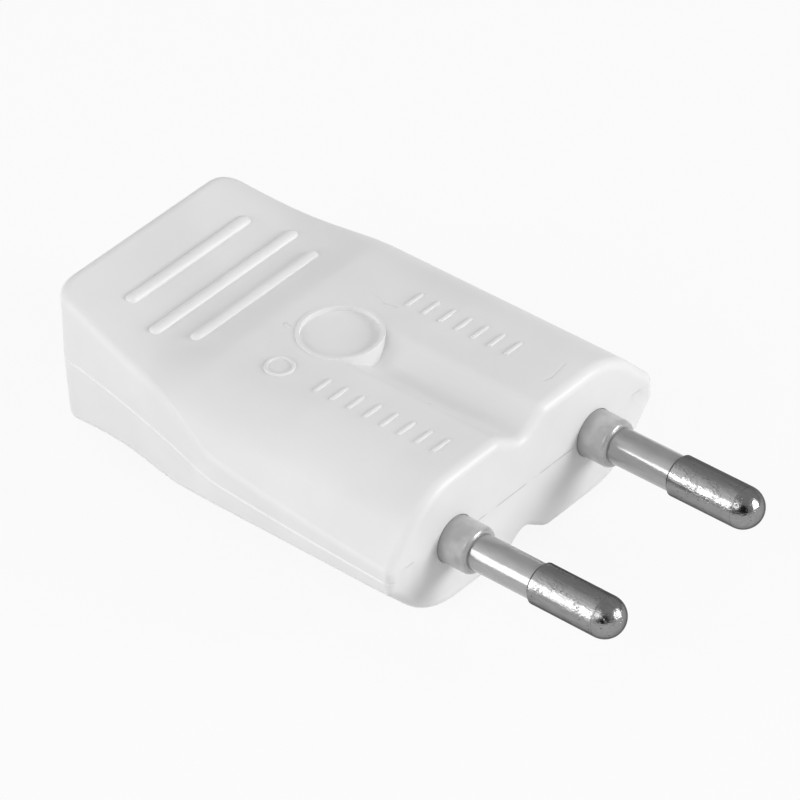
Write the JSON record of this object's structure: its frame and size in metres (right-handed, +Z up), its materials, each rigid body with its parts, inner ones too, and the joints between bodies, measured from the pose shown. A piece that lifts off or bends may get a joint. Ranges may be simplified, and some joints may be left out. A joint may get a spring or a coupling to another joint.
{
  "type": "two-pin plug",
  "caption": "Flat rewirable mains plug with round pins in part-insulating sleeves, a scooped finger grip with ribs, a central groove and a cord inlet at the rear.",
  "frame": {"origin": "middle of the flat pin face, on the parting plane that holds the pin axes", "axes": "+X out along the pins, +Y across to the left pin, +Z up out of the broad face; the plug lies on its other broad face"},
  "size_m": [0.065, 0.036, 0.0152],
  "materials": {
    "housing": "white moulded thermoplastic, satin gloss, slightly translucent",
    "pins": "nickel-plated brass, bright with fine pits",
    "sleeves": "grey-white moulded plastic, slightly translucent",
    "terminal_screws": "plain turned brass",
    "clamp": "off-white moulded plastic",
    "housing_screws": "zinc-plated steel"
  },
  "bodies": {
    "root": {"upper_shell": "housing", "lower_shell": "housing", "pin_left": "pins", "pin_right": "pins", "pin_sleeve_left": "sleeves", "pin_sleeve_right": "sleeves", "terminal_screw_left": "terminal_screws", "terminal_screw_right": "terminal_screws", "cord_clamp": "clamp", "cord_clamp_screw_left": "housing_screws", "cord_clamp_screw_right": "housing_screws", "case_screw": "housing_screws"}
  },
  "joints": []
}
